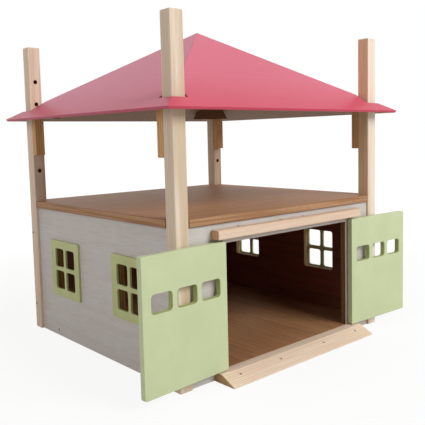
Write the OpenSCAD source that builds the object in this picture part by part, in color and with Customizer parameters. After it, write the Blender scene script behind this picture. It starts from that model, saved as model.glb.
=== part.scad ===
// Toy barn: four corner posts carry a walled ground floor with two swing doors,
// an open loft floor and a pyramid roof that lifts along the posts.
// Millimetres. The origin is the middle of the plan on the ground, the doors face -Y.

/* [Posts and walls] */
// Width over the corner posts, left to right
plan_width = 310; // [290:1:350]
// Depth over the corner posts, front to back
plan_depth = 300; // [270:1:340]
// Side of a square corner post
post_side = 15; // [13:0.5:18]
// Height of a corner post
post_height = 350; // [340:1:400]
// Thickness of the wall boards
wall_thickness = 8; // [6:0.5:9]
// How far the side walls lie behind the posts' outer faces
side_setback = 3.5; // [3:0.5:5]
// How far the front wall lies behind the posts' front faces
front_setback = 2.5; // [2:0.5:3.5]
// How far the back wall lies behind the posts' back faces
back_setback = 0; // [0:0.5:4]
// Thickness of the base board
base_thickness = 9.4; // [8:0.2:12]
// Height of the loft floor's top face
loft_height = 161.8; // [158:0.2:175]
// Thickness of the loft floor
loft_thickness = 8; // [6:0.5:10]
// Gap between a post and the boards notched round it
notch_gap = 0.5; // [0.3:0.1:1]

/* [Doorway] */
// Width of the doorway
doorway_width = 196.6; // [190:0.2:204]
// Height of the doorway's top edge above the ground
doorway_top = 133.4; // [128:0.2:135]
// How far the header beam reaches past the doors' pins
header_past_pins = 10; // [8:0.5:18]
// How far the header beam stands out from the wall
header_depth = 12; // [11:0.5:15]
// Height of the header beam
header_height = 9.3; // [9:0.1:11]
// Strip of wall between the header beam and the loft floor
header_gap = 4.9; // [4:0.1:6]
// Radius along the header beam's top edges
header_round = 2.5; // [1:0.5:4]
// How far the threshold ramp reaches past the doors' pins
ramp_past_pins = 9.4; // [8:0.2:18]
// How far the ramp reaches out from the wall
ramp_reach = 28.8; // [24:0.2:36]
// Flat part of the ramp's top, under the doors
ramp_flat = 11; // [10:0.5:14]
// Thickness of the ramp's toe
ramp_toe = 1; // [0.6:0.1:2]

/* [Doors] */
// Thickness of a door
door_thickness = 6; // [5:0.5:6.5]
// Gap between the doors when both are closed
door_meeting_gap = 4.8; // [2:0.2:6]
// Gap between a door and the ramp
door_bottom_gap = 1.3; // [0.8:0.1:2.5]
// Gap between a door and the header beam
door_top_gap = 2.6; // [1:0.1:3]
// Distance of the door pivots outside the doorway's edges
pivot_outside = 3.6; // [0.6:0.2:4]
// Distance of the door pivots in front of the wall
pivot_forward = 5; // [4.9:0.1:6]
// Distance of a pivot from its door's end
pivot_inset = 2.2; // [2:0.1:3]
// Angle of the left door from closed
left_door_angle = 177; // [0:1:177]
// Angle of the right door from closed
right_door_angle = 177; // [0:1:177]
// Radius of a door's corners
door_corner = 1.5; // [0.5:0.5:4]
// Windows in a door
door_windows = 3; // [1:1:3]
// Height of a door window
door_window_height = 18; // [14:0.5:30]
// Bar between two door windows
door_window_bar = 5.5; // [4:0.5:6.5]
// Distance from a door's hinge end to its first window
door_window_start = 8.8; // [8:0.2:13]
// Distance from a door's free end to its last window
door_window_end = 9.5; // [5:0.5:14]
// Distance from a door's top to its windows
door_window_drop = 34.1; // [20:0.1:50]
// Corner radius of a door window
door_window_corner = 3.5; // [2:0.5:5]

/* [Door pins] */
// Diameter of a pivot pin
pin_diameter = 2.4; // [1.6:0.1:2.6]
// Length of a pin inside the door
pin_in_door = 12; // [8:1:20]
// Length of the top pin inside the header beam
pin_in_header = 7; // [5:0.5:7]
// Length of the bottom pin inside the ramp
pin_in_ramp = 6; // [4:0.5:6.5]
// Running gap round a pin, on the radius
pin_running_gap = 0.08; // [0.04:0.01:0.1]
// Gap past the end of the top pin
pin_top_play = 1; // [0.5:0.1:2]
// Gap under the end of the bottom pin
pin_foot_play = 0.2; // [0.1:0.05:0.4]

/* [Side windows] */
// Distance of a side window's middle from the barn's middle
window_offset = 67.7; // [60:0.1:75]
// Height of a side window's middle
window_height = 84.6; // [75:0.2:95]
// Thickness of a window frame
frame_thickness = 2.4; // [2:0.1:3]
// Width of the rim round the panes, at the sides
frame_side = 10.1; // [6:0.1:13]
// Width of the rim round the panes, above and below
frame_rim = 9.5; // [6:0.1:13]
// Width of one pane
pane_width = 20.2; // [16:0.2:23]
// Height of one pane
pane_height = 21.8; // [16:0.2:25]
// Bar between two panes
pane_bar = 4.6; // [3:0.2:7]
// Corner radius of a pane
pane_corner = 3; // [1:0.5:4]
// Corner radius of a frame
frame_corner = 2.5; // [1:0.5:5]
// How much larger the hole in the wall is than the panes, each side
hole_margin = 1.5; // [0:0.5:4]

/* [Roof] */
// How far the eaves reach past the posts
eave_overhang = 18.2; // [12:0.2:26]
// Rise from the eaves to the peak
roof_rise = 99.4; // [80:0.2:115]
// Thickness of a roof panel
panel_thickness = 3; // [2.5:0.5:5]
// Gap between a post and the roof panels
roof_post_gap = 2.2; // [1:0.1:2.6]
// Height of the eaves above the pegs that hold the roof
eave_above_peg = 37; // [30:0.2:44]
// Thickness of a corner gusset
gusset_thickness = 5; // [3:0.5:8]
// Width of a corner gusset's foot
gusset_foot = 52; // [40:1:60]
// Slope of a corner gusset's ends
gusset_slope = 54; // [45:1:75]

/* [Guide blocks and pegs] */
// Width of a guide block
block_width = 11.4; // [9:0.2:14]
// Depth of a guide block, away from its post
block_depth = 9; // [8:0.5:12]
// How far a guide block reaches below its peg
block_below_peg = 8; // [5:0.5:12]
// Gap between a guide block and its post
block_gap = 0.4; // [0.3:0.1:0.8]
// Diameter of a peg
peg_diameter = 5; // [4:0.5:6]
// Length of a peg inside its post
peg_in_post = 7.5; // [5:0.5:9]
// Length of a peg inside its guide block
peg_in_block = 5; // [3:0.5:6]
// Gap between a peg and the slot that rests on it
peg_slot_gap = 0.2; // [0.1:0.05:0.3]
// Depth of a peg hole in a post
peg_hole_depth = 8; // [5:0.5:10]
// Height of the lowest peg hole
lowest_peg_hole = 199.4; // [195:0.2:204]
// Distance between peg holes
peg_hole_pitch = 27.2; // [24:0.2:30]
// Peg holes in each post
peg_hole_count = 5; // [4:1:5]
// Peg hole that the roof hangs on, counted from the lowest as 0
peg_hole_used = 1; // [1:1:2]

/* [Nails] */
// Diameter of a nail's shank
nail_diameter = 1.6; // [1.2:0.1:2]
// Diameter of a nail's head
nail_head = 2.8; // [2.4:0.1:4]
// Thickness of a nail's head
nail_head_thickness = 0.8; // [0.5:0.1:1.2]
// How deep the nail heads lie under the surface
nail_sink = 0.4; // [0:0.1:0.8]
// Length of a nail through a post into a wall
post_nail_length = 27; // [22:1:32]
// Length of a nail through a wall into the base board
base_nail_length = 18; // [14:1:24]
// Length of a nail through the header beam into the wall
header_nail_length = 13; // [10:1:15]
// Length of a nail through the ramp into the base board
ramp_nail_length = 34; // [30:1:40]
// Distance of the outer ramp nails inside the doorway's edges
ramp_nail_inset = 6; // [4:1:12]
// Gap round nails, pegs and pins in the pieces that hold them
press_gap = 0.05; // [0.02:0.01:0.1]

/* [Hidden] */
half_width = plan_width / 2;
half_depth = plan_depth / 2;
side_wall_x = half_width - side_setback;
front_wall_y = -(half_depth - front_setback);
back_wall_y = half_depth - back_setback;
room_x = side_wall_x - wall_thickness;
room_front_y = front_wall_y + wall_thickness;
room_back_y = back_wall_y - wall_thickness;
post_inner_x = half_width - post_side;
post_inner_y = half_depth - post_side;
wall_top = loft_height - loft_thickness;

header_top = wall_top - header_gap;
header_bottom = header_top - header_height;
door_bottom = base_thickness + door_bottom_gap;
door_top = header_bottom - door_top_gap;
door_height = door_top - door_bottom;
pivot_x = doorway_width / 2 + pivot_outside;
pivot_y = front_wall_y - pivot_forward;
header_length = 2 * (pivot_x + header_past_pins);
ramp_length = 2 * (pivot_x + ramp_past_pins);
door_length = pivot_x + pivot_inset - door_meeting_gap / 2;
door_window_width = (door_length - door_window_start - door_window_end + door_window_bar) / door_windows
    - door_window_bar;
window_step = door_window_width + door_window_bar;

pane_step_x = pane_width + pane_bar;
pane_step_z = pane_height + pane_bar;
panes_wide = pane_step_x + pane_width;
panes_high = pane_step_z + pane_height;
frame_width = panes_wide + 2 * frame_side;
frame_height = panes_high + 2 * frame_rim;

peg_height = lowest_peg_hole + peg_hole_used * peg_hole_pitch;
peg_x = half_width - post_side / 2;
eave_x = half_width + eave_overhang;
eave_y = half_depth + eave_overhang;
eave_height = peg_height + eave_above_peg;
peak_height = eave_height + roof_rise;
block_inner_y = post_inner_y - block_gap - block_depth;
block_bottom = peg_height - block_below_peg;
// Distance from the middle to a gusset's outer face, along the plan's 45 degree line
gusset_reach = (post_inner_x + block_inner_y) / sqrt(2) - block_gap;

// Nail rows, as shares of the height or run of the board that they hold
post_nail_levels = [0.2, 0.79];
cross_nail_levels = [0.3, 0.69];
base_nail_height = base_thickness * 0.7;
base_nail_share = 0.7;
header_nail_shares = [-0.7, -0.16, 0.16, 0.7];
header_nail_slant = 45;
// Distance of the header nails' heads in front of the wall
header_nail_forward = 3.5;
ramp_nail_shares = [-1, -0.38, 0.38, 1];
ramp_nail_height = base_thickness * 0.7;
ramp_nail_x = doorway_width / 2 - ramp_nail_inset;

// A little past a face that a cut goes through
past = 1;
$fn = 48;

pine = [0.88, 0.78, 0.64];
pale_wood = [0.9, 0.81, 0.68];
board_brown = [0.62, 0.46, 0.34];
white_wash = [0.78, 0.78, 0.76];
leaf_green = [0.77, 0.82, 0.62];
roof_pink = [0.87, 0.41, 0.5];
steel = [0.45, 0.44, 0.42];

// A flat rectangle with round corners, its lower left corner at the origin
module rounded_rectangle(width, height, radius) {
    r = min(radius, width / 2 - 0.01, height / 2 - 0.01);
    translate([r, 0]) square([width - 2 * r, height]);
    translate([0, r]) square([width, height - 2 * r]);
    for (x = [r, width - r], y = [r, height - r]) {
        translate([x, y]) circle(r);
    }
}

// A board that stands across the barn, drawn as seen from the front, with its face at y
module standing_board(y, thickness) {
    translate([0, y + thickness, 0]) rotate([90, 0, 0]) linear_extrude(thickness) children();
}

// A board that stands along the right side, drawn with y to the right, with its inner face at x
module side_board(x, thickness) {
    translate([x, 0, 0]) rotate([90, 0, 90]) linear_extrude(thickness) children();
}

// A nail with its head's face at the origin, driven down along -Z
module nail(length) {
    color(steel) {
        translate([0, 0, -nail_sink - nail_head_thickness]) cylinder(d = nail_head, h = nail_head_thickness);
        translate([0, 0, -length]) cylinder(d = nail_diameter, h = length - nail_sink - nail_head_thickness);
    }
}

// The hole that a nail of the same length makes
module nail_hole(length) {
    sunk = nail_sink + nail_head_thickness;
    translate([0, 0, -sunk]) cylinder(d = nail_head + 2 * press_gap, h = sunk + past);
    translate([0, 0, -length - press_gap]) cylinder(d = nail_diameter + 2 * press_gap, h = length);
}

// Middle of the wall board that ends at the front posts or at the back posts
function end_wall_middle(sy) =
    sy < 0 ? front_wall_y + wall_thickness / 2 : back_wall_y - wall_thickness / 2;

// Places the nails that run through one post into the two walls that meet it
module at_post_nails(sx, sy) {
    for (level = post_nail_levels) {
        translate([sx * half_width, end_wall_middle(sy), wall_top * level]) rotate([0, sx * 90, 0]) children();
    }
    for (level = cross_nail_levels) {
        translate([sx * (side_wall_x - wall_thickness / 2), sy * half_depth, wall_top * level])
            rotate([-sy * 90, 0, 0]) children();
    }
}

// Places the nails that run through a side wall into the base board
module at_side_base_nails(sx) {
    for (sy = [-1, 1]) {
        translate([sx * side_wall_x, sy * post_inner_y * base_nail_share, base_nail_height])
            rotate([0, sx * 90, 0]) children();
    }
}

// Places the nails that run through the back wall into the base board
module at_back_base_nails() {
    for (sx = [-1, 1]) {
        translate([sx * post_inner_x * base_nail_share, back_wall_y, base_nail_height])
            rotate([-90, 0, 0]) children();
    }
}

// Places the nails that slant down through the header beam's top into the front wall
module at_header_nails() {
    for (share = header_nail_shares) {
        translate([share * header_length / 2, front_wall_y - header_nail_forward, header_top])
            rotate([header_nail_slant, 0, 0]) children();
    }
}

// How far the ramp's sloping face lies from the wall at a height
function ramp_face(height) =
    ramp_flat + (ramp_reach - ramp_flat) * (base_thickness - height) / (base_thickness - ramp_toe);

// Places the nails that run through the ramp into the base board
module at_ramp_nails() {
    for (share = ramp_nail_shares) {
        translate([share * ramp_nail_x, front_wall_y - ramp_face(ramp_nail_height), ramp_nail_height])
            rotate([90, 0, 0]) children();
    }
}

// Places a peg hole's mouth, with the way out along +Z
module at_peg_hole(sx, sy, height) {
    translate([sx * peg_x, sy * post_inner_y, height]) rotate([sy * 90, 0, 0]) children();
}

module corner_post(sx, sy) {
    low_x = sx < 0 ? -half_width : post_inner_x;
    low_y = sy < 0 ? -half_depth : post_inner_y;
    color(pine) difference() {
        translate([low_x, low_y, 0]) cube([post_side, post_side, post_height]);
        for (i = [0 : peg_hole_count - 1]) {
            at_peg_hole(sx, sy, lowest_peg_hole + i * peg_hole_pitch)
                translate([0, 0, -peg_hole_depth])
                cylinder(d = peg_diameter + 2 * press_gap, h = peg_hole_depth + past);
        }
        at_post_nails(sx, sy) nail_hole(post_nail_length);
    }
}

module front_wall() {
    color(white_wash) difference() {
        standing_board(front_wall_y, wall_thickness) difference() {
            translate([-post_inner_x, 0]) square([2 * post_inner_x, wall_top]);
            translate([-doorway_width / 2, -past]) square([doorway_width, doorway_top + past]);
        }
        for (sx = [-1, 1]) at_post_nails(sx, -1) nail_hole(post_nail_length);
        at_header_nails() nail_hole(header_nail_length);
    }
}

module back_wall() {
    color(white_wash) difference() {
        standing_board(room_back_y, wall_thickness)
            translate([-post_inner_x, 0]) square([2 * post_inner_x, wall_top]);
        for (sx = [-1, 1]) at_post_nails(sx, 1) nail_hole(post_nail_length);
        at_back_base_nails() nail_hole(base_nail_length);
    }
}

// The right wall; the left wall is its mirror image
module side_wall() {
    color(white_wash) difference() {
        side_board(room_x, wall_thickness) difference() {
            translate([-post_inner_y, 0]) square([2 * post_inner_y, wall_top]);
            for (sy = [-1, 1]) {
                translate([sy * window_offset - panes_wide / 2 - hole_margin,
                           window_height - panes_high / 2 - hole_margin])
                    rounded_rectangle(panes_wide + 2 * hole_margin, panes_high + 2 * hole_margin, pane_corner);
            }
        }
        for (sy = [-1, 1]) at_post_nails(1, sy) nail_hole(post_nail_length);
        at_side_base_nails(1) nail_hole(base_nail_length);
    }
}

// A window frame on the right wall, in front (sy = -1) or at the back (sy = 1)
module window_frame(sy) {
    color(leaf_green) side_board(side_wall_x, frame_thickness)
        translate([sy * window_offset, window_height]) difference() {
            translate([-frame_width / 2, -frame_height / 2])
                rounded_rectangle(frame_width, frame_height, frame_corner);
            for (column = [0, 1], row = [0, 1]) {
                translate([column * pane_step_x - panes_wide / 2, row * pane_step_z - panes_high / 2])
                    rounded_rectangle(pane_width, pane_height, pane_corner);
            }
        }
}

module base_board() {
    tongue = doorway_width - 2 * notch_gap;
    color(board_brown) difference() {
        linear_extrude(base_thickness) difference() {
            union() {
                translate([-room_x, room_front_y]) square([2 * room_x, room_back_y - room_front_y]);
                translate([-tongue / 2, front_wall_y]) square([tongue, wall_thickness + past]);
            }
            post_notches();
        }
        for (sx = [-1, 1]) at_side_base_nails(sx) nail_hole(base_nail_length);
        at_back_base_nails() nail_hole(base_nail_length);
        at_ramp_nails() nail_hole(ramp_nail_length);
    }
}

// The plan of the four posts with their gap, cut out of the boards
module post_notches() {
    for (sx = [-1, 1], sy = [-1, 1]) {
        translate([sx * (half_width - post_side / 2), sy * (half_depth - post_side / 2)])
            square(post_side + 2 * notch_gap, center = true);
    }
}

module loft_floor() {
    color(board_brown) translate([0, 0, wall_top]) linear_extrude(loft_thickness) difference() {
        square([plan_width, plan_depth], center = true);
        post_notches();
    }
}

module header_beam() {
    color(pale_wood) difference() {
        translate([-header_length / 2, front_wall_y, 0]) rotate([90, 0, 90]) linear_extrude(header_length) {
            translate([-header_depth, header_bottom]) square([header_depth, header_height - header_round]);
            translate([-header_depth, header_bottom])
                rounded_rectangle(header_depth, header_height, header_round);
        }
        for (sx = [-1, 1]) {
            translate([sx * pivot_x, pivot_y, header_bottom - past])
                cylinder(d = pin_diameter + 2 * pin_running_gap, h = pin_in_header + pin_top_play + past);
        }
        at_header_nails() nail_hole(header_nail_length);
    }
}

module threshold_ramp() {
    color(pale_wood) difference() {
        translate([-ramp_length / 2, front_wall_y, 0]) rotate([90, 0, 90]) linear_extrude(ramp_length)
            polygon([
                [0, 0], [0, base_thickness], [-ramp_flat, base_thickness],
                [-ramp_reach, ramp_toe], [-ramp_reach, 0]
            ]);
        for (sx = [-1, 1]) {
            translate([sx * pivot_x, pivot_y, base_thickness - pin_in_ramp - pin_foot_play])
                cylinder(d = pin_diameter + 2 * pin_running_gap, h = pin_in_ramp + pin_foot_play + past);
        }
        at_ramp_nails() nail_hole(ramp_nail_length);
    }
}

// Stands what is drawn about a door's pivot axis in its place: left as drawn, right as a mirror image
module at_door(sx) {
    angle = sx < 0 ? left_door_angle : right_door_angle;
    mirror([sx < 0 ? 0 : 1, 0, 0]) translate([-pivot_x, pivot_y, 0]) rotate([0, 0, -angle]) children();
}

module door(sx) {
    color(leaf_green) at_door(sx) difference() {
        translate([-pivot_inset, 0, door_bottom]) standing_board(-door_thickness / 2, door_thickness) difference() {
            rounded_rectangle(door_length, door_height, door_corner);
            for (i = [0 : door_windows - 1]) {
                translate([door_window_start + i * window_step,
                           door_height - door_window_drop - door_window_height])
                    rounded_rectangle(door_window_width, door_window_height, door_window_corner);
            }
        }
        for (z = [door_bottom - past, door_top - pin_in_door - press_gap]) {
            translate([0, 0, z])
                cylinder(d = pin_diameter + 2 * press_gap, h = pin_in_door + press_gap + past);
        }
    }
}

module door_top_pin(sx) {
    color(steel) at_door(sx) translate([0, 0, door_top - pin_in_door])
        cylinder(d = pin_diameter, h = pin_in_door + door_top_gap + pin_in_header);
}

module door_foot_pin(sx) {
    color(steel) at_door(sx) translate([0, 0, base_thickness - pin_in_ramp])
        cylinder(d = pin_diameter, h = pin_in_ramp + door_bottom_gap + pin_in_door);
}

// The room under the roof panels: everything below the undersides of all four
module under_roof() {
    reach = 2;
    intersection() {
        roof_slope_below(eave_x, eave_y * reach);
        rotate([0, 0, 90]) roof_slope_below(eave_y, eave_x * reach);
    }
}

// Height of a panel, measured upright through its slope
function upright_thickness(run) = panel_thickness * sqrt(run * run + roof_rise * roof_rise) / run;

// The space below two facing panels that fall along x over the run
module roof_slope_below(run, half_length) {
    under_peak = peak_height - upright_thickness(run);
    under_eave = eave_height - upright_thickness(run);
    rotate([90, 0, 0]) translate([0, 0, -half_length]) linear_extrude(2 * half_length)
        polygon([[-run, 0], [run, 0], [run, under_eave], [0, under_peak], [-run, under_eave]]);
}

// One panel that falls towards +X over the run, cut along the hips that end at half_eave
module sloping_panel(run, half_eave) {
    slant = sqrt(run * run + roof_rise * roof_rise);
    edge_in = panel_thickness * roof_rise / slant;
    edge_down = panel_thickness * run / slant;
    intersection() {
        rotate([90, 0, 0]) translate([0, 0, -half_eave]) linear_extrude(2 * half_eave)
            polygon([
                [0, peak_height], [run, eave_height],
                [run - edge_in, eave_height - edge_down], [0, peak_height - upright_thickness(run)]
            ]);
        linear_extrude(peak_height + past) polygon([[0, 0], [run, -half_eave], [run, half_eave]]);
    }
}

// A roof panel facing along the given quarter turn, with its share of the post openings
module roof_panel(turn, run, half_eave) {
    opening = post_side + 2 * roof_post_gap;
    color(roof_pink) difference() {
        rotate([0, 0, turn]) sloping_panel(run, half_eave);
        for (sx = [-1, 1], sy = [-1, 1]) {
            translate([sx * (half_width - post_side / 2), sy * (half_depth - post_side / 2), peak_height / 2])
                cube([opening, opening, peak_height + past], center = true);
        }
    }
}

// An upright plate across a roof corner, just inside the post and its guide block
module gusset(sx, sy) {
    height = roof_rise / 2;
    top = max(2, gusset_foot - 2 * height / tan(gusset_slope));
    color(board_brown) intersection() {
        rotate([0, 0, atan2(sy, sx)]) translate([gusset_reach - gusset_thickness, 0, eave_height])
            rotate([90, 0, 90]) linear_extrude(gusset_thickness)
            polygon([[-gusset_foot / 2, 0], [gusset_foot / 2, 0], [top / 2, height], [-top / 2, height]]);
        under_roof();
    }
}

// A block glued under the roof beside a post, flush with the post's left face, with a slot that
// drops over the post's peg
module guide_block(sx, sy) {
    low_x = sx < 0 ? -half_width : post_inner_x;
    low_y = sy < 0 ? -(block_inner_y + block_depth) : block_inner_y;
    slot = peg_diameter + 2 * peg_slot_gap;
    slot_depth = peg_in_block + peg_slot_gap - block_gap;
    color(pine) intersection() {
        difference() {
            translate([low_x, low_y, block_bottom]) cube([block_width, block_depth, peak_height - block_bottom]);
            at_peg_hole(sx, sy, peg_height) {
                cylinder(d = slot, h = slot_depth + block_gap);
                translate([-slot / 2, sy < 0 ? 0 : -block_below_peg - past, 0])
                    cube([slot, block_below_peg + past, slot_depth + block_gap]);
            }
        }
        under_roof();
    }
}

module roof_pegs() {
    color(pine) for (sx = [-1, 1], sy = [-1, 1]) {
        at_peg_hole(sx, sy, peg_height) translate([0, 0, -peg_in_post])
            cylinder(d = peg_diameter, h = peg_in_post + peg_in_block);
    }
}

module post_nails() {
    for (sx = [-1, 1], sy = [-1, 1]) at_post_nails(sx, sy) nail(post_nail_length);
}

module base_nails() {
    for (sx = [-1, 1]) at_side_base_nails(sx) nail(base_nail_length);
    at_back_base_nails() nail(base_nail_length);
}

module header_nails() {
    at_header_nails() nail(header_nail_length);
}

module ramp_nails() {
    at_ramp_nails() nail(ramp_nail_length);
}

base_board();
front_wall();
back_wall();
mirror([1, 0, 0]) side_wall();  // left_wall
side_wall();  // right_wall
loft_floor();
header_beam();
threshold_ramp();
corner_post(-1, -1);  // front_left_post
corner_post(1, -1);  // front_right_post
corner_post(-1, 1);  // back_left_post
corner_post(1, 1);  // back_right_post
mirror([1, 0, 0]) window_frame(-1);  // left_front_window_frame
mirror([1, 0, 0]) window_frame(1);  // left_back_window_frame
window_frame(-1);  // right_front_window_frame
window_frame(1);  // right_back_window_frame
door(-1);  // left_door
door_top_pin(-1);  // left_door_top_pin
door_foot_pin(-1);  // left_door_foot_pin
door(1);  // right_door
door_top_pin(1);  // right_door_top_pin
door_foot_pin(1);  // right_door_foot_pin
roof_panel(-90, eave_y, eave_x);  // front_roof_panel
roof_panel(90, eave_y, eave_x);  // back_roof_panel
roof_panel(180, eave_x, eave_y);  // left_roof_panel
roof_panel(0, eave_x, eave_y);  // right_roof_panel
gusset(-1, -1);  // front_left_gusset
gusset(1, -1);  // front_right_gusset
gusset(-1, 1);  // back_left_gusset
gusset(1, 1);  // back_right_gusset
guide_block(-1, -1);  // front_left_guide_block
guide_block(1, -1);  // front_right_guide_block
guide_block(-1, 1);  // back_left_guide_block
guide_block(1, 1);  // back_right_guide_block
roof_pegs();
post_nails();
base_nails();
header_nails();
ramp_nails();
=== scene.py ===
# Toy barn of pine and painted board: two swing doors, barred side windows, an open loft
# and a pyramid roof that lifts along four corner posts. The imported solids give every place
# and size, and this script gives them worn arrises, grain, paint, nails and light.
import math

import bmesh
import bpy
from mathutils import Matrix, Vector


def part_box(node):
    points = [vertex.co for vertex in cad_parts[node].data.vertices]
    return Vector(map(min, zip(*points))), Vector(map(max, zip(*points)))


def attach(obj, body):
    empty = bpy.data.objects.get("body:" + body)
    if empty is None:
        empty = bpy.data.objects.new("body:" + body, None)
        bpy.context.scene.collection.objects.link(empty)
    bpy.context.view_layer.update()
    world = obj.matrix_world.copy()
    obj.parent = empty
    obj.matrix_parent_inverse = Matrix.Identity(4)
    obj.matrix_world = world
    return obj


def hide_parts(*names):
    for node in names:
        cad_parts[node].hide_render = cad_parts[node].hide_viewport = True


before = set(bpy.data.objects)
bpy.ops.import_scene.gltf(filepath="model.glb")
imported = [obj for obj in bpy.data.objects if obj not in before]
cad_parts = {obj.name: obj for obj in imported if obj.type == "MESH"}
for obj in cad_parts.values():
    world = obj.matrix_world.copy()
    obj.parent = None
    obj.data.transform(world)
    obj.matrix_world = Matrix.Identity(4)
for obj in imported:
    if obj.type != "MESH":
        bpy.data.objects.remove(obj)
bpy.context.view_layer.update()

MM = 0.001
X, Y, Z = 0, 1, 2
SIDES = {"left": -1, "right": 1}
ENDS = {"front": -1, "back": 1}


# Colours, nodes and objects


def srgb(code):
    """An sRGB hex colour as linear RGBA."""
    parts = [int(code[i:i + 2], 16) / 255 for i in (1, 3, 5)]
    linear = [c / 12.92 if c <= 0.04045 else ((c + 0.055) / 1.055) ** 2.4 for c in parts]
    return (*linear, 1.0)


def grey(level):
    """A grey as linear RGBA."""
    return (level, level, level, 1.0)


def add(tree, kind, inputs=None, stops=(), **settings):
    """Adds a node, sets its properties, sets or links its inputs, and gives a colour ramp its stops."""
    made = tree.nodes.new(kind)
    for name, value in settings.items():
        setattr(made, name, value)
    for name, value in (inputs or {}).items():
        if isinstance(value, bpy.types.NodeSocket):
            tree.links.new(value, made.inputs[name])
        else:
            made.inputs[name].default_value = value
    if stops:
        elements = made.color_ramp.elements
        while len(elements) < len(stops):
            elements.new(0.5)
        for element, (position, colour) in zip(elements, stops):
            element.position = position
            element.color = colour
    return made


def placed(name, data):
    """A new object at the origin that holds a mesh, lamp or camera."""
    made = bpy.data.objects.new(name, data)
    bpy.context.scene.collection.objects.link(made)
    return made


# What the materials share


def along(axis, length, width):
    """Sizes of a spot with its long side on one axis."""
    return [length if i == axis else width for i in range(3)]


def space(tree, size, centre=(0, 0, 0)):
    """Object coordinates counted in cells of the given sizes in millimetres, one for each axis."""
    place = add(tree, "ShaderNodeTexCoord").outputs["Object"]
    middle = [c * MM for c in centre]
    moved = add(tree, "ShaderNodeVectorMath", {0: place, 1: middle}, operation="SUBTRACT").outputs[0]
    scale = [1 / (s * MM) for s in size]
    return add(tree, "ShaderNodeMapping", {"Vector": moved, "Scale": scale}).outputs["Vector"]


def pattern(tree, size, centre=(0, 0, 0), detail=2.0, roughness=0.5, distortion=0.0):
    """An uneven pattern from 0 to 1 whose spots have the given sizes in millimetres."""
    inputs = {"Vector": space(tree, size, centre), "Scale": 1.0, "Detail": detail,
              "Roughness": roughness, "Distortion": distortion}
    return add(tree, "ShaderNodeTexNoise", inputs).outputs["Fac"]


def veiled(tree, surface, colour, cover):
    """A surface with another hex colour over it, as thick as cover says from 0 to 1."""
    inputs = {0: cover, 6: surface, 7: srgb(colour)}
    return add(tree, "ShaderNodeMix", inputs, data_type="RGBA").outputs[2]


def stained(tree, surface, colour, where, *covers):
    """A surface with another colour over it in places. Each of covers is (value of the pattern, cover)."""
    stops = [(value, grey(cover)) for value, cover in covers]
    cover = add(tree, "ShaderNodeValToRGB", {"Fac": where}, stops).outputs["Color"]
    return veiled(tree, surface, colour, cover)


def tinted_arrises(tree, surface, colour, cover):
    """A surface whose rounded arrises, which the meshes mark with an attribute, take on another colour. Each
    finish gives that colour as wear, painted highlight or painted shade.
    """
    mark = add(tree, "ShaderNodeAttribute", attribute_name="arris", attribute_type="GEOMETRY").outputs["Fac"]
    arris_share = add(tree, "ShaderNodeMath", {0: mark, 1: cover}, operation="MULTIPLY").outputs[0]
    return veiled(tree, surface, colour, arris_share)


def finish(tree, shader, colour, relief, depth, strength, numbers):
    """Gives the shader its colour, a relief with its depth in millimetres, and its plain numbers."""
    bump = {"Height": relief, "Distance": depth * MM, "Strength": strength}
    tree.links.new(colour, shader.inputs["Base Color"])
    tree.links.new(add(tree, "ShaderNodeBump", bump).outputs["Normal"], shader.inputs["Normal"])
    for name, value in numbers.items():
        shader.inputs[name].default_value = value


def new_material(name, look):
    """A material whose shader gets its links and numbers from look(tree, shader)."""
    made = bpy.data.materials.new(name)
    made.use_nodes = True
    tree = made.node_tree
    look(tree, tree.nodes["Principled BSDF"])
    return made


# Materials

# Millimetres: pine's fibre streaks, the distance between its growth rings, and how far along
# the grain a ring keeps its shape
FIBRE_LENGTH = 70
FIBRE_WIDTH = 0.9
RING_WIDTH = 2.3
RING_RUN = RING_WIDTH * 60
# How far a growth ring wanders from round, in rings
RING_WANDER = 1.6
# The scale at which a wave texture makes one ring to a unit
ONE_RING = 0.314
# The distance in millimetres between the arcs on a sawn end, and a point of the pith line they run round
ARC_WIDTH = 1.5
ARC_PITH = (0, 40, -22)
# The roof's paint is deeper from the eaves up to this many millimetres above them, and by this much
EAVE_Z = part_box("front_roof_panel")[0][2]
EAVE_BAND = 42
EAVE_DEEPER = 0.8


def bare_pine(axis, light, dark, pith, rings=0.5):
    """Planed pine, sanded and left bare: pale and dull. The growth rings run round a pith line in
    millimetres, so a side that faces the pith shows a broad soft figure, and a side that looks past it
    fine straight lines."""
    def look(tree, shader):
        wander = pattern(tree, along(axis, 150, 12), pith)
        wander = add(tree, "ShaderNodeMath", {0: wander, 1: RING_WANDER}, operation="MULTIPLY").outputs[0]
        centred = space(tree, along(axis, RING_RUN, RING_WIDTH), pith)
        bent = add(tree, "ShaderNodeVectorMath", {0: centred, 1: wander}, operation="ADD").outputs[0]
        rounds = {"Vector": bent, "Scale": ONE_RING, "Distortion": 0.5, "Detail": 1.0}
        late_wood = add(tree, "ShaderNodeTexWave", rounds, wave_type="RINGS",
                        rings_direction="XYZ"[axis], wave_profile="SIN").outputs["Fac"]
        fibres = pattern(tree, along(axis, FIBRE_LENGTH, FIBRE_WIDTH), pith, detail=3.0, roughness=0.6)
        bands = pattern(tree, along(axis, 190, 7), pith)
        tones = [(0.3, srgb(light)), (1.0, srgb(dark))]
        wood = add(tree, "ShaderNodeValToRGB", {"Fac": late_wood}, tones).outputs["Color"]
        wood = veiled(tree, wood, light, 1.0 - rings)
        wood = stained(tree, wood, dark, bands, (0.4, 0.0), (0.75, 0.35))
        wood = stained(tree, wood, dark, fibres, (0.38, 0.3), (0.6, 0.0))
        # Paler rounded arrises: wear, with a painted highlight where they round over into the light.
        wood = tinted_arrises(tree, wood, light, 0.4)
        finish(tree, shader, wood, fibres, 0.06, 0.6, {"Roughness": 0.62, "Specular IOR Level": 0.3})
    return look


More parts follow.
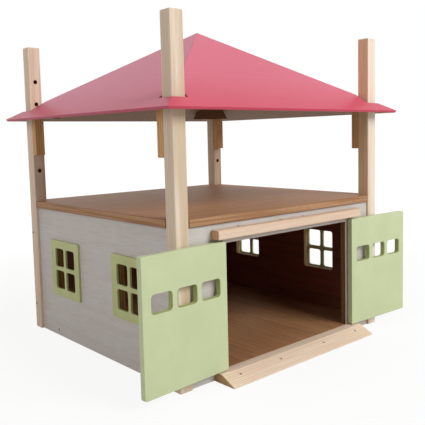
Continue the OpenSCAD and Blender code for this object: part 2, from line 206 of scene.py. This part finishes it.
def end_grain(light, dark):
    """Sawn ends of pine: the open pores drink the light, so they are darker than the sides, with short
    arcs."""
    def look(tree, shader):
        rounds = {"Vector": space(tree, (ARC_WIDTH, ARC_WIDTH, ARC_WIDTH), ARC_PITH),
                  "Scale": ONE_RING, "Distortion": 1.2}
        arcs = add(tree, "ShaderNodeTexWave", rounds, wave_type="RINGS", rings_direction="X").outputs["Fac"]
        pores = pattern(tree, (0.5, 0.5, 0.5))
        tones = [(0.2, srgb(light)), (0.9, srgb(dark))]
        wood = add(tree, "ShaderNodeValToRGB", {"Fac": arcs}, tones).outputs["Color"]
        wood = stained(tree, wood, dark, pores, (0.4, 0.5), (0.6, 0.0))
        finish(tree, shader, wood, pores, 0.1, 0.6, {"Roughness": 0.8, "Specular IOR Level": 0.2})
    return look


def washed_board(axis):
    """Plywood under a thin white wash: cool off-white that lets the veneer's fine streaks show."""
    def look(tree, shader):
        fine = pattern(tree, along(axis, 22, 0.9), detail=3.0, roughness=0.65)
        broad = pattern(tree, along(axis, 110, 7))
        patches = pattern(tree, (46, 46, 46))
        tones = [(0.3, srgb("#c1bcb6")), (0.5, srgb("#cac8c5")), (0.75, srgb("#d2d2d2"))]
        wash = add(tree, "ShaderNodeValToRGB", {"Fac": fine}, tones).outputs["Color"]
        wash = stained(tree, wash, "#beb5ac", broad, (0.38, 0.3), (0.62, 0.0))
        wash = stained(tree, wash, "#cfcfce", patches, (0.4, 0.0), (0.8, 0.35))
        wash = tinted_arrises(tree, wash, "#b49f8a", 0.5)
        finish(tree, shader, wash, fine, 0.05, 0.6, {"Roughness": 0.6, "Specular IOR Level": 0.3})
    return look


def brown_board(axis, light, dark, streak=0.6):
    """Raw plywood with a warm brown face veneer: long soft streaks, short dark pores, no finish."""
    def look(tree, shader):
        streaks = pattern(tree, along(axis, 120, 6), detail=3.0, roughness=0.55, distortion=0.3)
        pores = pattern(tree, along(axis, 7, 0.7), roughness=0.6)
        tones = [(0.3, srgb(dark)), (0.55, srgb(light))]
        wood = add(tree, "ShaderNodeValToRGB", {"Fac": streaks}, tones).outputs["Color"]
        wood = veiled(tree, wood, light, 1.0 - streak)
        wood = stained(tree, wood, dark, pores, (0.34, 0.45), (0.5, 0.0))
        wood = tinted_arrises(tree, wood, dark, 0.4)
        finish(tree, shader, wood, pores, 0.08, 0.6, {"Roughness": 0.55, "Specular IOR Level": 0.4})
    return look


def ply_edge(axis, light, dark, glue):
    """Sawn edge of plywood, its thickness along an axis: thin bands of two browns, with the glue's tone on
    its arrises."""
    def look(tree, shader):
        plies = pattern(tree, along(axis, 1.7, 140), detail=1.0)
        saw = pattern(tree, along(axis, 5, 0.9))
        tones = [(0.4, srgb(dark)), (0.58, srgb(light))]
        wood = add(tree, "ShaderNodeValToRGB", {"Fac": plies}, tones).outputs["Color"]
        wood = stained(tree, wood, dark, saw, (0.38, 0.3), (0.55, 0.0))
        wood = tinted_arrises(tree, wood, glue, 0.55)
        finish(tree, shader, wood, saw, 0.08, 0.5, {"Roughness": 0.75, "Specular IOR Level": 0.25})
    return look


def painted_board(face, deep, edge, roughness):
    """Board under matt paint: even colour with soft roller mottle, and another tone on its rounded arrises:
    on the doors paler, wear with a painted highlight, and on the window frames darker, painted shade.
    """
    def look(tree, shader):
        mottle = pattern(tree, (30, 30, 30), detail=3.0)
        stipple = pattern(tree, (1.1, 1.1, 1.1))
        tones = [(0.35, srgb(deep)), (0.65, srgb(face))]
        paint = add(tree, "ShaderNodeValToRGB", {"Fac": mottle}, tones).outputs["Color"]
        paint = tinted_arrises(tree, paint, edge, 0.7)
        numbers = {"Roughness": roughness, "Specular IOR Level": 0.3}
        finish(tree, shader, paint, stipple, 0.03, 0.5, numbers)
    return look


def painted_ply(axis, face, deep, edge):
    """Thin plywood under satin paint: one strong colour that is deeper towards the eaves, with the veneer's
    grain barely showing through it."""
    def look(tree, shader):
        grain = pattern(tree, along(axis, 90, 4), detail=4.0, roughness=0.6, distortion=0.3)
        mottle = pattern(tree, (70, 70, 70))
        tones = [(0.3, srgb(deep)), (0.6, srgb(face))]
        paint = add(tree, "ShaderNodeValToRGB", {"Fac": grain}, tones).outputs["Color"]
        paint = stained(tree, paint, deep, mottle, (0.4, 0.0), (0.7, 0.3))
        place = add(tree, "ShaderNodeTexCoord").outputs["Object"]
        height = add(tree, "ShaderNodeSeparateXYZ", {0: place}).outputs["Z"]
        band = {"Value": height, "From Min": EAVE_Z, "From Max": EAVE_Z + EAVE_BAND * MM,
                "To Min": EAVE_DEEPER, "To Max": 0.0}
        deeper = add(tree, "ShaderNodeMapRange", band, interpolation_type="SMOOTHSTEP").outputs["Result"]
        paint = veiled(tree, paint, edge, deeper)
        paint = tinted_arrises(tree, paint, edge, 0.5)
        finish(tree, shader, paint, grain, 0.02, 0.4, {"Roughness": 0.34, "Specular IOR Level": 0.08})
    return look


def steel_wire(dull, bright):
    """Drawn steel nails and pins, blunt and slightly tarnished: grey and dull."""
    def look(tree, shader):
        tarnish = pattern(tree, (0.8, 0.8, 0.8))
        tones = [(0.35, srgb(dull)), (0.65, srgb(bright))]
        metal = add(tree, "ShaderNodeValToRGB", {"Fac": tarnish}, tones).outputs["Color"]
        finish(tree, shader, metal, tarnish, 0.02, 0.5, {"Metallic": 1.0, "Roughness": 0.5})
    return look


# Each post, the header beam and the ramp have their own tones and pith line, and the four guide blocks
# share one. Where one finish has several tones, such as the front right post's left side, the window
# edges, the roof's paint and the raw boards in the shade, they were matched to the photograph, so they
# hold some of its light as well as the wood's or paint's own colour.
MATERIALS = {
    "front_left_post_pine": bare_pine(Z, "#e8dccb", "#bfa682", (-140, -55, 0)),
    "front_right_post_pine": bare_pine(Z, "#efe6d9", "#cfae8a", (147, -50, 0), 0.4),
    # The front right post's left side: warmer, browner pine, painted warm shade from inside the barn.
    "front_right_warm_shaded_pine": bare_pine(Z, "#e7cfae", "#bd9069", (80, -142, 0), 0.4),
    "back_left_post_pine": bare_pine(Z, "#e6d7c3", "#bfa07c", (-156, 50, 0), 0.35),
    "back_right_post_pine": bare_pine(Z, "#e4d0b8", "#bb9870", (140, 45, 0)),
    # The guide blocks' pine is browner and darker than the posts': painted shade from the roof above them.
    "block_pine_shaded": bare_pine(Z, "#d8aa74", "#9c6a3a", (-40, 20, 0)),
    "header_pine": bare_pine(X, "#e3cfbb", "#c8a687", (0, -90, 160), 0.4),
    "ramp_pine": bare_pine(X, "#f3e2cf", "#cfae8c", (0, -235, -25), 0.5),
    # The walls of the holes drilled in the posts: darker, browner end grain, the torn fibres' own colour
    # with painted shade in the holes.
    "drilled_pine_shaded": end_grain("#b0703a", "#7c4a22"),
    "pine_ends": end_grain("#d2b088", "#a8825a"),
    "washed_ply_across": washed_board(X),
    "washed_ply_along": washed_board(Y),
    # The inside of the walls and the loft's underside: raw plywood in a dark red-brown, painted shade of the
    # barn's inside.
    "inside_ply_shaded": brown_board(Y, "#7a4029", "#502616", 0.5),
    # The doorway's sawn edges are darker than the other plywood edges: painted shade in the doorway.
    "doorway_ply_edge_shaded": ply_edge(Y, "#8a6244", "#66442c", "#9a7454"),
    # One plywood with two colours: the left wall's window edges darker, painted shade, and the right wall's
    # paler, painted light.
    "left_window_edge_painted_light": ply_edge(X, "#8a6c3c", "#65491f", "#a08a54"),
    "right_window_edge_painted_light": ply_edge(X, "#c6aa88", "#a58766", "#d5bf9f"),
    # The barn's floor is a little darker than the loft's board: painted shade under the loft.
    "floor_ply_shaded": brown_board(Y, "#ae8059", "#835a3b"),
    "loft_ply": brown_board(X, "#b4835a", "#8f623e"),
    "loft_ply_edge": ply_edge(Z, "#b58f6e", "#977150", "#6b4c36"),
    # The roof's underside is a darker brown: painted shade under the roof.
    "roof_ply_shaded": brown_board(X, "#9c8068", "#806449", 0.3),
    # The gussets are a dark brown: painted shade under the roof.
    "gusset_ply_shaded": brown_board(X, "#69401f", "#4a2a14", 0.4),
    # The doors' paler arrises are wear with a painted highlight.
    "green_door_paint": painted_board("#c7d4aa", "#c2cfa5", "#d4e0b8", 0.5),
    # The window frames' darker arrises are painted shade on the narrow bars.
    "green_frame_paint": painted_board("#bfc78e", "#b6be82", "#9aa564", 0.5),
    "green_cut_paint": painted_board("#b3be82", "#a3af70", "#b9c48a", 0.55),
    # One pink paint in two copies: the side panels' pink is paler and greyer than the end panels', a painted
    # reflection haze.
    "pink_with_painted_light_across": painted_ply(X, "#ce6278", "#ca5d75", "#c7495f"),
    "pink_with_painted_light_along": painted_ply(Y, "#c0647c", "#bc5f79", "#bb556a"),
    "steel_wire": steel_wire("#7d6f5c", "#a89a84"),
    "scuffed_steel_wire": steel_wire("#b09c82", "#cdbda4"),
}
materials = {name: new_material(name, look) for name, look in MATERIALS.items()}


# Meshes

# Points nearer than this in millimetres are one point, and triangles flatter than this angle one face
MERGED = 0.001
FLAT = math.radians(0.5)
# Edges sharper than this are rounded, and what is still sharper than a crease afterwards is shaded crisp
SHARP = math.radians(30)
CREASE = math.radians(50)
# The cosine above which a face made by the rounding still belongs to one of the flat sides
SAME_SIDE = math.cos(math.radians(3))
# A mouth smaller than this in millimetres stays crisp
SMALL_MOUTH = 8
# Widths of the rounded arrises in millimetres
ARRIS = {
    "post": 1.1, "side_wall": 0.4, "end_wall": 0.8, "base_board": 0.4, "loft_floor": 0.5,
    "header_beam": 1.0, "threshold_ramp": 0.5, "window_frame": 0.5, "door": 1.2, "roof_panel": 0.3,
    "gusset": 0.4, "guide_block": 0.9,
}
# How many millimetres below a piece's sides a face counts as cut into it
CUT = {"post": 0.6, "window_frame": 0.9, "door": 1.8}
# A box round the window holes in the side walls, in millimetres
WINDOWS_LOW = (-160, -110, 50)
WINDOWS_HIGH = (160, 110, 125)
# How much of a face's normal lies along an axis: more than LEANS if the face or arris looks that way at
# all, more than SQUARE if it lies across the axis, and less than PAST if it looks past it
LEANS = 0.3
SQUARE = 0.8
PAST = 0.5
# The same for the undersides of the roof's sloping panels
UNDERSIDE = 0.75


def merged(node):
    """A CAD node's mesh with its doubles merged and its flat triangles joined into whole faces."""
    bm = bmesh.new()
    bm.from_mesh(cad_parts[node].data)
    bmesh.ops.remove_doubles(bm, verts=bm.verts, dist=MERGED * MM)
    bmesh.ops.dissolve_limit(bm, angle_limit=FLAT, verts=bm.verts, edges=bm.edges)
    return bm


def sharp_edges(bm):
    """The edges between two faces that meet at more than SHARP."""
    return [e for e in bm.edges if len(e.link_faces) == 2 and e.calc_face_angle() > SHARP]


def small_mouths(edges):
    """The sharp edges that close into a ring smaller than SMALL_MOUTH, such as a nail hole's."""
    left = set(edges)
    rings = set()
    while left:
        group = {left.pop()}
        front = list(group)
        while front:
            edge = front.pop()
            for vert in edge.verts:
                for other in vert.link_edges:
                    if other in left:
                        left.remove(other)
                        group.add(other)
                        front.append(other)
        points = [v.co for e in group for v in e.verts]
        spread = max(max(p[i] for p in points) - min(p[i] for p in points) for i in range(3))
        if spread < SMALL_MOUTH * MM:
            rings |= group
    return rings


def dressed(node, width, segments=2):
    """A merged copy of a CAD node's mesh with its arrises rounded."""
    bm = merged(node)
    mark = bm.faces.layers.float.new("arris")
    edges = sharp_edges(bm)
    crisp = small_mouths(edges)
    rounded = [e for e in edges if e not in crisp]
    sides = [face.normal.copy() for face in bm.faces]
    made = bmesh.ops.bevel(bm, geom=rounded, offset=width * MM, offset_type="OFFSET", segments=segments,
                           profile=0.5, affect="EDGES", clamp_overlap=True)
    for face in bm.faces:
        face.smooth = False
    for face in made["faces"]:
        if max(face.normal.dot(side) for side in sides) < SAME_SIDE:
            face[mark] = 1.0
            face.smooth = True
    for edge in bm.edges:
        edge.smooth = edge.calc_face_angle(0) < CREASE
    mesh = bpy.data.meshes.new(node)
    bm.to_mesh(mesh)
    bm.free()
    return mesh


def stand_for(node, mesh, body, paints):
    """Puts a mesh in a CAD node's place. paints is a list of (material, test on a face's normal and
    centre), and a face takes the first material whose test it passes."""
    piece = placed(node + "_finished", mesh)
    for name, _ in paints:
        mesh.materials.append(materials[name])
    for face in mesh.polygons:
        face.material_index = next(i for i, (_, test) in enumerate(paints) if test(face.normal, face.center))
    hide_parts(node)
    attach(piece, body)


def anywhere(normal, centre):
    """True for every face, for the material of what is left."""
    return True


def facing(axis, sign, least=LEANS):
    """True for a face that looks one way along an axis, rounded arrises included unless least is higher."""
    return lambda normal, centre: normal[axis] * sign > least


def at_ends(axis):
    """True for a face across an axis, at either end of a board."""
    return lambda normal, centre: abs(normal[axis]) > SQUARE


def window_reveal(normal, centre):
    """True for the sawn walls of the window holes in a side wall."""
    within = all(low * MM <= c <= high * MM for low, c, high in zip(WINDOWS_LOW, centre, WINDOWS_HIGH))
    return within and abs(normal[X]) < PAST


def cut_into(node, depth, through=None):
    """True for a face that lies deeper than this in millimetres below the sides of a node's box, as in a
    hole. For a hole right through along an axis, only its walls count, however near they come to the two
    sides."""
    low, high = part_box(node)
    across = [axis for axis in (X, Y, Z) if axis != through]

    def test(normal, centre):
        inside = all(low[axis] + depth * MM < centre[axis] < high[axis] - depth * MM for axis in across)
        return inside and (through is None or abs(normal[through]) < PAST)
    return test


for end in ENDS:
    for side in SIDES:
        node = f"{end}_{side}_post"
        # The drilled holes' walls carry painted shade.
        paints = [("drilled_pine_shaded", cut_into(node, CUT["post"])), ("pine_ends", at_ends(Z)),
                  (node + "_pine", anywhere)]
        if node == "front_right_post":
            # Its left side, which looks into the barn, takes a warmer pine of painted warm shade.
            paints.insert(2, ("front_right_warm_shaded_pine", facing(X, -1)))
        stand_for(node, dressed(node, ARRIS["post"], segments=3), "barn", paints)

for side, sx in SIDES.items():
    node = f"{side}_wall"
    paints = [("washed_ply_along", facing(X, sx)), (f"{side}_window_edge_painted_light", window_reveal),
              ("inside_ply_shaded", anywhere)]
    stand_for(node, dressed(node, ARRIS["side_wall"]), "barn", paints)
for end, sy in ENDS.items():
    node = f"{end}_wall"
    paints = [("washed_ply_across", facing(Y, sy)), ("doorway_ply_edge_shaded", at_ends(X)),
              ("inside_ply_shaded", anywhere)]
    stand_for(node, dressed(node, ARRIS["end_wall"]), "barn", paints)

stand_for("base_board", dressed("base_board", ARRIS["base_board"]), "barn",
          [("floor_ply_shaded", anywhere)])
stand_for("loft_floor", dressed("loft_floor", ARRIS["loft_floor"]), "barn",
          [("loft_ply", facing(Z, 1, SQUARE)), ("inside_ply_shaded", facing(Z, -1, SQUARE)),
           ("loft_ply_edge", anywhere)])
for node, wood in (("header_beam", "header_pine"), ("threshold_ramp", "ramp_pine")):
    stand_for(node, dressed(node, ARRIS[node], segments=3), "barn",
              [("pine_ends", at_ends(X)), (wood, anywhere)])

for side in SIDES:
    for end in ENDS:
        node = f"{side}_{end}_window_frame"
        paints = [("green_cut_paint", cut_into(node, CUT["window_frame"], X)),
                  ("green_frame_paint", anywhere)]
        stand_for(node, dressed(node, ARRIS["window_frame"]), "barn", paints)
    node = f"{side}_door"
    paints = [("green_cut_paint", cut_into(node, CUT["door"], Y)), ("green_door_paint", anywhere)]
    stand_for(node, dressed(node, ARRIS["door"], segments=3), node, paints)

for name, grain in (("front", "across"), ("back", "across"), ("left", "along"), ("right", "along")):
    node = f"{name}_roof_panel"
    paints = [("roof_ply_shaded", facing(Z, -1, UNDERSIDE)), (f"pink_with_painted_light_{grain}", anywhere)]
    stand_for(node, dressed(node, ARRIS["roof_panel"]), "roof", paints)

for end in ENDS:
    for side in SIDES:
        node = f"{end}_{side}_gusset"
        stand_for(node, dressed(node, ARRIS["gusset"]), "roof", [("gusset_ply_shaded", anywhere)])
        node = f"{end}_{side}_guide_block"
        stand_for(node, dressed(node, ARRIS["guide_block"]), "roof", [("block_pine_shaded", anywhere)])

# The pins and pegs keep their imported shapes, and the pegs are of the same pale pine as the header beam
KEPT_SHAPES = {
    "left_door_top_pin": "steel_wire", "left_door_foot_pin": "steel_wire",
    "right_door_top_pin": "steel_wire", "right_door_foot_pin": "steel_wire",
    "roof_pegs": "header_pine",
}
for node, name in KEPT_SHAPES.items():
    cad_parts[node].data.materials.clear()
    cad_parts[node].data.materials.append(materials[name])


# Nails

# How far a nail's domed head lies under the wood at its rim, and how high it domes, in millimetres
HEAD_SINK = 0.2
HEAD_DOME = 0.2
# Faces round a nail and from the top of its head's ball to the bottom
HEAD_SIDES = 16
HEAD_RINGS = 8
# A packed nail's round ends have more corners than this, and below this share of its length it is shank
DISC_CORNERS = 8
SHANK_END = 0.9


def packed_nails(node):
    """For each nail of a node: the middle of its head, its outward direction, the radius of its head and
    its shank, and its length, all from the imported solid."""
    bm = merged(node)
    left = set(bm.verts)
    found = []
    while left:
        nail = set()
        front = [left.pop()]
        while front:
            vert = front.pop()
            nail.add(vert)
            for edge in vert.link_edges:
                other = edge.other_vert(vert)
                if other in left:
                    left.remove(other)
                    front.append(other)
        discs = [f for v in nail for f in v.link_faces if len(f.verts) > DISC_CORNERS]
        head = max(discs, key=lambda f: f.calc_area())
        middle = head.calc_center_median()
        outward = head.normal.copy()
        depth = [(middle - v.co).dot(outward) for v in nail]
        off_axis = [((v.co - middle) + outward * d).length for v, d in zip(nail, depth)]
        tip = max(depth)
        shank = max(r for r, d in zip(off_axis, depth) if d > tip * SHANK_END)
        found.append((middle, outward, max(off_axis), shank, tip))
    bm.free()
    return sorted(found, key=lambda n: tuple(n[0]))


def nail_tree():
    """Geometry Nodes that set a nail on each point: a domed head on a round shank, along the direction in
    the point's outward attribute."""
    tree = bpy.data.node_groups.new("nails", "GeometryNodeTree")
    face = tree.interface
    face.new_socket("Geometry", in_out="INPUT", socket_type="NodeSocketGeometry")
    for name in ("Head radius", "Shank radius", "Length", "Sink", "Dome"):
        face.new_socket(name, in_out="INPUT", socket_type="NodeSocketFloat")
    face.new_socket("Wire", in_out="INPUT", socket_type="NodeSocketMaterial")
    face.new_socket("Geometry", in_out="OUTPUT", socket_type="NodeSocketGeometry")
    given = add(tree, "NodeGroupInput").outputs

    round_bar = {"Vertices": HEAD_SIDES, "Radius": given["Shank radius"], "Depth": given["Length"]}
    shank = add(tree, "GeometryNodeMeshCylinder", round_bar).outputs["Mesh"]
    half = add(tree, "ShaderNodeMath", {0: given["Length"], 1: -0.5}, operation="MULTIPLY").outputs[0]
    drop = add(tree, "ShaderNodeMath", {0: half, 1: given["Sink"]}, operation="SUBTRACT").outputs[0]
    low = add(tree, "ShaderNodeCombineXYZ", {"Z": drop}).outputs[0]
    shank = add(tree, "GeometryNodeTransform", {"Geometry": shank, "Translation": low}).outputs[0]

    ball = {"Segments": HEAD_SIDES, "Rings": HEAD_RINGS, "Radius": given["Head radius"]}
    head = add(tree, "GeometryNodeMeshUVSphere", ball).outputs["Mesh"]
    flat = {0: given["Dome"], 1: given["Head radius"]}
    flat = add(tree, "ShaderNodeMath", flat, operation="DIVIDE").outputs[0]
    squash = add(tree, "ShaderNodeCombineXYZ", {"X": 1.0, "Y": 1.0, "Z": flat}).outputs[0]
    sink = add(tree, "ShaderNodeMath", {0: given["Sink"], 1: -1.0}, operation="MULTIPLY").outputs[0]
    sunk = add(tree, "ShaderNodeCombineXYZ", {"Z": sink}).outputs[0]
    domed = {"Geometry": head, "Translation": sunk, "Scale": squash}
    head = add(tree, "GeometryNodeTransform", domed).outputs[0]

    whole = add(tree, "GeometryNodeJoinGeometry")
    tree.links.new(shank, whole.inputs[0])
    tree.links.new(head, whole.inputs[0])
    named = {"Name": "outward"}
    aim = add(tree, "GeometryNodeInputNamedAttribute", named, data_type="FLOAT_VECTOR").outputs[0]
    turn = add(tree, "FunctionNodeAlignRotationToVector", {"Vector": aim}, axis="Z").outputs[0]
    driven = {"Points": given["Geometry"], "Instance": whole.outputs[0], "Rotation": turn}
    made = add(tree, "GeometryNodeInstanceOnPoints", driven).outputs[0]
    made = add(tree, "GeometryNodeRealizeInstances", {"Geometry": made}).outputs[0]
    made = add(tree, "GeometryNodeSetShadeSmooth", {"Geometry": made}).outputs[0]
    made = add(tree, "GeometryNodeSetMaterial", {"Geometry": made, "Material": given["Wire"]}).outputs[0]
    add(tree, "NodeGroupOutput", {"Geometry": made})
    return tree


def drive_nails(node, tree, wire):
    """Stands domed nails of a material in the place of a node's packed ones."""
    nails = packed_nails(node)
    head, shank, length = (max(n[i] for n in nails) for i in (2, 3, 4))
    mesh = bpy.data.meshes.new(node)
    mesh.from_pydata([n[0] for n in nails], [], [])
    outward = mesh.attributes.new("outward", "FLOAT_VECTOR", "POINT")
    for slot, nail in zip(outward.data, nails):
        slot.vector = nail[1]
    maker = placed(node + "_maker", mesh)
    modifier = maker.modifiers.new("nails", "NODES")
    modifier.node_group = tree
    given = {"Head radius": head, "Shank radius": shank, "Length": length - HEAD_SINK * MM,
             "Sink": HEAD_SINK * MM, "Dome": HEAD_DOME * MM, "Wire": materials[wire]}
    for item in tree.interface.items_tree:
        if item.name in given:
            modifier[item.identifier] = given[item.name]
    graph = bpy.context.evaluated_depsgraph_get()
    done = bpy.data.meshes.new_from_object(maker.evaluated_get(graph))
    bpy.data.objects.remove(maker)
    piece = placed(node + "_finished", done)
    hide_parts(node)
    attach(piece, "barn")


nails = nail_tree()
for node in ("post_nails", "base_nails", "header_nails"):
    drive_nails(node, nails, "steel_wire")
# The ramp's nails are scuffed bright where things roll over them
drive_nails("ramp_nails", nails, "scuffed_steel_wire")


# Floor, light and camera

# Half the floor's width in metres, its own grey, and how strongly it glows where it is seen directly
FLOOR_HALF = 4.0
FLOOR_GREY = 0.7
FLOOR_GLOW = 1.05
# How much of the floor's own shading is seen near the barn, and between which distances in metres it
# fades out
SHADOW_SEEN = 0.16
SHADOW_FADES_FROM, SHADOW_GONE = 0.3, 1.1
# The surround's strength and tint as a light
ROOM_STRENGTH = 0.14
ROOM_TINT = "#ffc890"
# What every lamp aims at, in metres
MIDDLE = (0, 0, 0.15)
# Each lamp's place and size in metres, power in watts and tint
LAMPS = {
    "key": ((0.5, -1.9, 1.3), 1.2, 38, "#ffffff"),
    "top": ((0.2, 0.1, 2.2), 1.6, 13, "#ffffff"),
    "left_fill": ((-2.0, -0.3, 1.0), 1.4, 13, "#f6f9ff"),
    "sky": ((0.84, 1.48, 1.3), 1.4, 1.2, "#ffffff"),
    "back_fill": ((-0.5, 2.1, 0.6), 1.2, 9, "#ffffff"),
}


def seen_directly(tree):
    """1 where the camera sees a surface, also in a reflection or through glass, and 0 where the surface
    only gives light."""
    path = add(tree, "ShaderNodeLightPath").outputs
    plain = {0: path["Is Camera Ray"], 1: path["Is Glossy Ray"]}
    plain = add(tree, "ShaderNodeMath", plain, operation="MAXIMUM").outputs[0]
    either = {0: plain, 1: path["Is Transmission Ray"]}
    return add(tree, "ShaderNodeMath", either, operation="MAXIMUM").outputs[0]


def pale_floor():
    """A large matt white floor: the barn's soft shadow shows near it, and it is plain white further out."""
    mesh = bpy.data.meshes.new("floor")
    corners = [(x * FLOOR_HALF, y * FLOOR_HALF, 0) for x, y in ((-1, -1), (1, -1), (1, 1), (-1, 1))]
    mesh.from_pydata(corners, [], [(0, 1, 2, 3)])
    floor = placed("floor", mesh)
    material = bpy.data.materials.new("white_studio_floor")
    material.use_nodes = True
    tree = material.node_tree
    tree.nodes.clear()
    place = add(tree, "ShaderNodeTexCoord").outputs["Object"]
    away = add(tree, "ShaderNodeVectorMath", {0: place}, operation="LENGTH").outputs["Value"]
    fading = {"Value": away, "From Min": SHADOW_FADES_FROM, "From Max": SHADOW_GONE,
              "To Min": 1 - SHADOW_SEEN, "To Max": 1.0}
    white_share = add(tree, "ShaderNodeMapRange", fading).outputs["Result"]
    glow = {0: seen_directly(tree), 1: white_share}
    glow = add(tree, "ShaderNodeMath", glow, operation="MULTIPLY").outputs[0]
    matt = add(tree, "ShaderNodeBsdfDiffuse", {"Color": grey(FLOOR_GREY)}).outputs[0]
    white = add(tree, "ShaderNodeEmission", {"Color": grey(1.0), "Strength": FLOOR_GLOW}).outputs[0]
    both = add(tree, "ShaderNodeMixShader", {0: glow, 1: matt, 2: white}).outputs[0]
    add(tree, "ShaderNodeOutputMaterial", {"Surface": both})
    mesh.materials.append(material)


def white_room():
    """A white surround: full white to the camera and in reflections, dim and warm as a light."""
    world = bpy.data.worlds.new("studio")
    bpy.context.scene.world = world
    world.use_nodes = True
    tree = world.node_tree
    tree.nodes.clear()
    seen = seen_directly(tree)
    level = add(tree, "ShaderNodeMix", {0: seen, 2: ROOM_STRENGTH, 3: 1.0}, data_type="FLOAT").outputs[0]
    shades = {0: seen, 6: srgb(ROOM_TINT), 7: grey(1.0)}
    colour = add(tree, "ShaderNodeMix", shades, data_type="RGBA").outputs[2]
    light = add(tree, "ShaderNodeBackground", {"Color": colour, "Strength": level}).outputs[0]
    add(tree, "ShaderNodeOutputWorld", {"Surface": light})


def softbox(name, place, size, power, tint):
    """A square area light at a place, aimed at the middle of the barn."""
    light = bpy.data.lights.new(name, "AREA")
    light.shape = "SQUARE"
    light.size = size
    light.energy = power
    light.color = srgb(tint)[:3]
    lamp = placed(name, light)
    lamp.location = place
    lamp.rotation_euler = (Vector(MIDDLE) - Vector(place)).to_track_quat("-Z", "Y").to_euler()


# The photograph's camera, solved from the barn's corners: place in millimetres, angles in degrees,
# focal length and centre of projection in pixels of a 425 pixel square picture
CAMERA_PLACE = (-486.5, -586.1, 237.0)
CAMERA_YAW, CAMERA_PITCH, CAMERA_ROLL = 42.106, -5.308, -1.259
FOCAL_PIXELS = 612.8
CENTRE_PIXELS = (226.72, 193.14)
PICTURE = 425
SENSOR = 36.0
# What the camera sees lies between these distances in metres
NEAREST, FURTHEST = 0.05, 50


def photo_camera():
    """Sets up the photograph's camera: the yaw and pitch aim it, and the roll turns it about its aim."""
    camera = bpy.data.cameras.new("camera")
    camera.sensor_width = SENSOR
    camera.lens = FOCAL_PIXELS / PICTURE * SENSOR
    camera.shift_x = (PICTURE / 2 - CENTRE_PIXELS[0]) / PICTURE
    camera.shift_y = (CENTRE_PIXELS[1] - PICTURE / 2) / PICTURE
    camera.clip_start = NEAREST
    camera.clip_end = FURTHEST
    yaw, pitch, roll = (math.radians(a) for a in (CAMERA_YAW, CAMERA_PITCH, CAMERA_ROLL))
    ahead = Vector((math.sin(yaw) * math.cos(pitch), math.cos(yaw) * math.cos(pitch), math.sin(pitch)))
    level = Vector((math.cos(yaw), -math.sin(yaw), 0))
    right = math.cos(roll) * level + math.sin(roll) * level.cross(ahead)
    rise = right.cross(ahead)
    holder = placed("camera", camera)
    turn = Matrix((right, rise, -ahead)).transposed().to_4x4()
    holder.matrix_world = Matrix.Translation(Vector(CAMERA_PLACE) * MM) @ turn
    bpy.context.scene.camera = holder


pale_floor()
white_room()
for name, lamp in LAMPS.items():
    softbox(name, *lamp)
photo_camera()
bpy.context.scene.view_settings.view_transform = "Standard"
